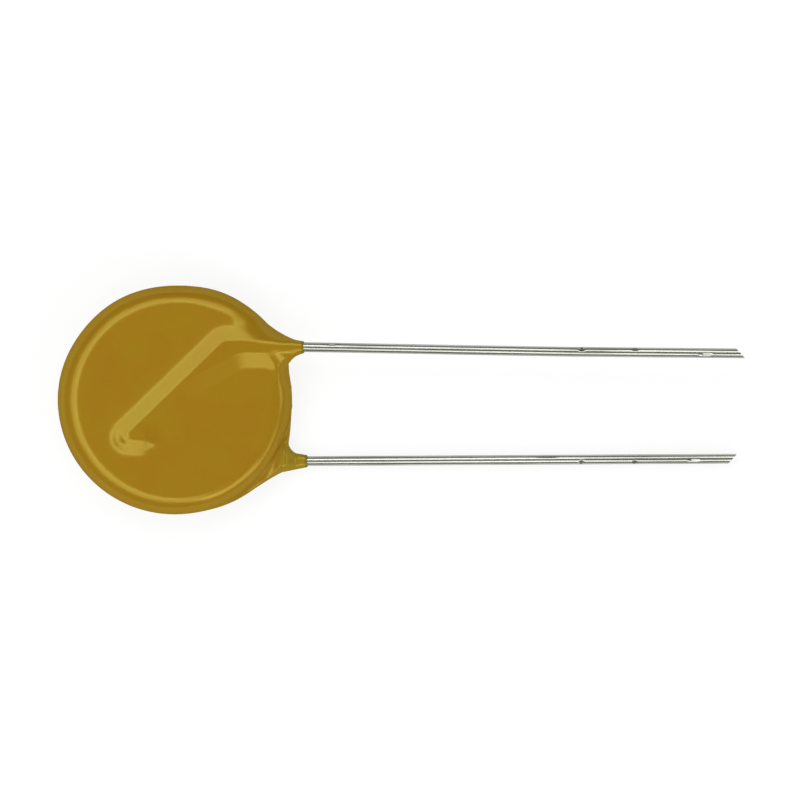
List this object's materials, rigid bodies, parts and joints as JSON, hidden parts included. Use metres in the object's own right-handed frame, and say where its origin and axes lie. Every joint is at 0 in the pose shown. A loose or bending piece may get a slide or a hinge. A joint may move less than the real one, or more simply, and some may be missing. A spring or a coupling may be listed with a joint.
{
  "type": "disc varistor",
  "caption": "Radial-leaded metal oxide disc varistor with an ochre epoxy coating dipped over crossed wire leads, with long straight tinned leads.",
  "frame": {"origin": "under the middle of the part, half way along it and half way across it, on the surface that its lower face rests on", "axes": "+X runs along the leads to their cut ends, +Z is the axis of the disc and points out of the face that the picture shows, +Y is across the leads, towards the front lead"},
  "size_m": [0.0452, 0.0151, 0.0038],
  "materials": {
    "ceramic": "dark sintered zinc oxide ceramic, matte",
    "silver": "fired silver paste, satin",
    "solder": "tin solder, semi-bright",
    "tinned_wire": "hot-tinned copper, bright with fine lengthwise drawing marks",
    "epoxy": "dipped epoxy, semi-gloss ochre"
  },
  "bodies": {
    "root": {"ceramic_disc": "ceramic", "electrode_front": "silver", "electrode_back": "silver", "solder_front": "solder", "solder_back": "solder", "lead_front": "tinned_wire", "lead_back": "tinned_wire", "epoxy_coating": "epoxy"}
  },
  "joints": []
}
